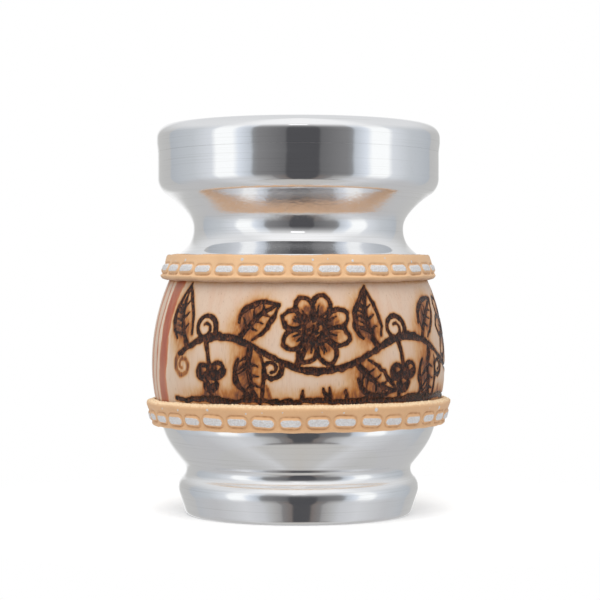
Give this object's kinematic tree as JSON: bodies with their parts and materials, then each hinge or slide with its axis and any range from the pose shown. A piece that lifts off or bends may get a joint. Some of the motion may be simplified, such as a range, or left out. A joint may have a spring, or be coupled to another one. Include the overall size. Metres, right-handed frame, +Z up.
{
  "type": "mate cup",
  "caption": "Turned wooden mate cup with a bare bulging belly, a spun aluminium mouth, neck and foot, and embossed leather bands over the edges of the metal.",
  "frame": {"origin": "centre of the underside of the foot", "axes": "+Z up along the axis of the cup, -Y towards the front, with the seams of the bands at the back"},
  "size_m": [0.0862, 0.0862, 0.11],
  "materials": {
    "wood": "lacquered pale wood with burned-in drawing",
    "aluminium": "polished, spun by hand",
    "leather": "natural tan, embossed and painted"
  },
  "bodies": {
    "root": {"wood_cup": "wood", "base_shell": "aluminium", "neck_collar": "aluminium", "mouth_ring": "aluminium", "upper_band": "leather", "lower_band": "leather"}
  },
  "joints": []
}
